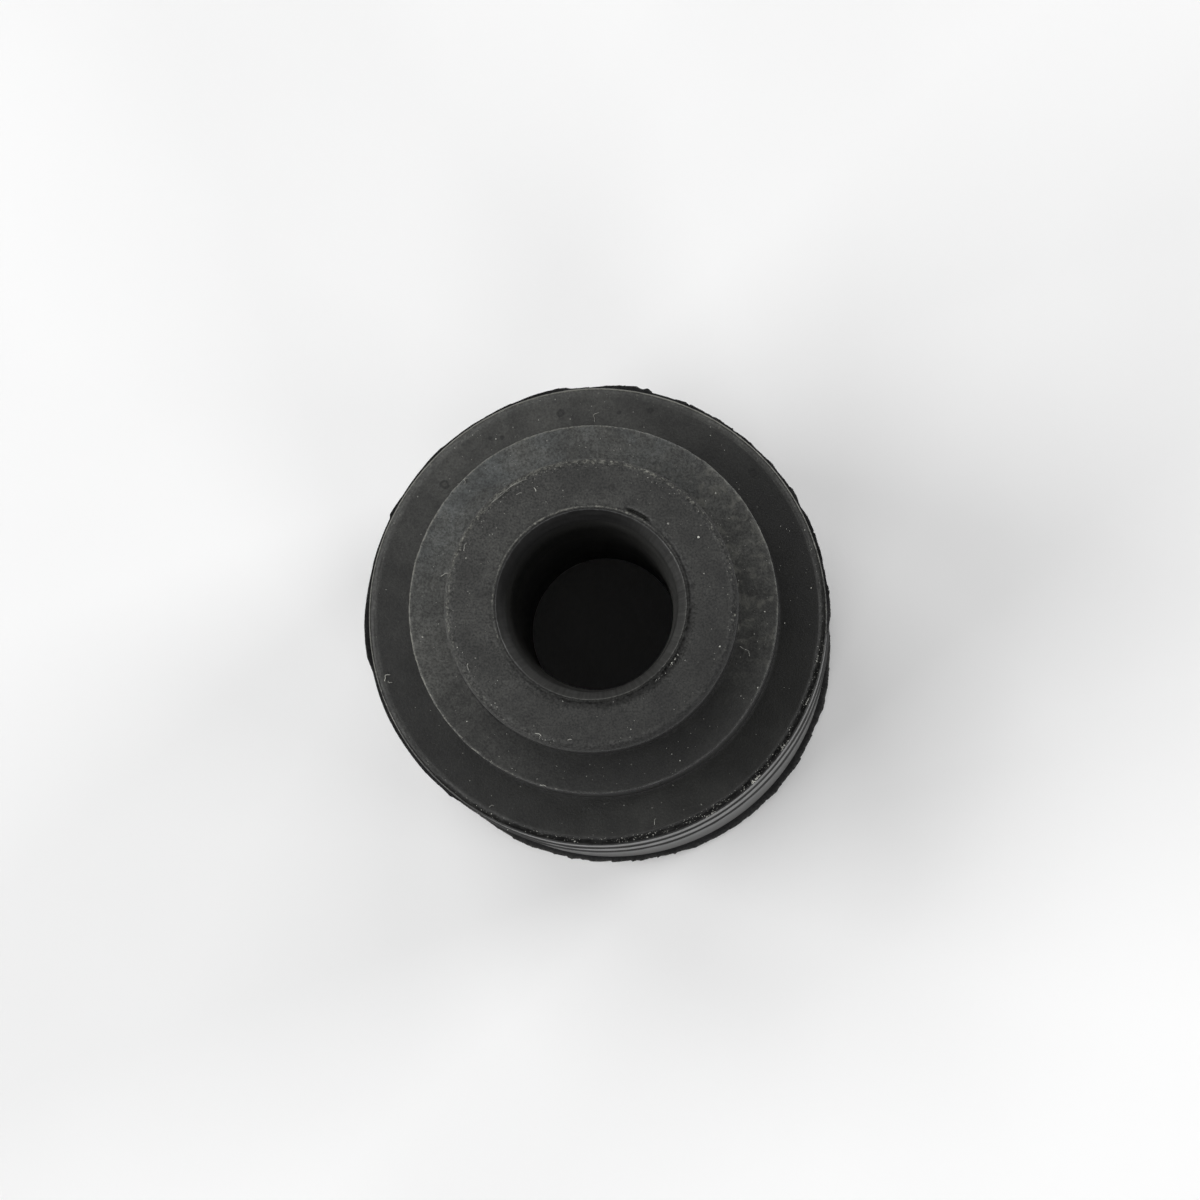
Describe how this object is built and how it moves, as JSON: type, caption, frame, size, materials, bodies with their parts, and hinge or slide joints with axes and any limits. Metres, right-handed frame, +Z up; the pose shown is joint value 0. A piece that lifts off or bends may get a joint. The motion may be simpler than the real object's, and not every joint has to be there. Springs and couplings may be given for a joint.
{
  "type": "rubber grommet",
  "caption": "Stepped cylindrical rubber grommet with a bevelled through bore, a seating step and boss, and a hollowed underside.",
  "frame": {"origin": "centre of the underside, on the surface the grommet stands on", "axes": "+Z up along the bore axis, towards the boss; +X and +Y are the right and the top of the picture"},
  "size_m": [0.0273, 0.0273, 0.0305],
  "materials": {
    "black_rubber": "matte moulded rubber with faint bloom, dust and worn edges"
  },
  "bodies": {
    "root": {"grommet": "black_rubber"}
  },
  "joints": []
}
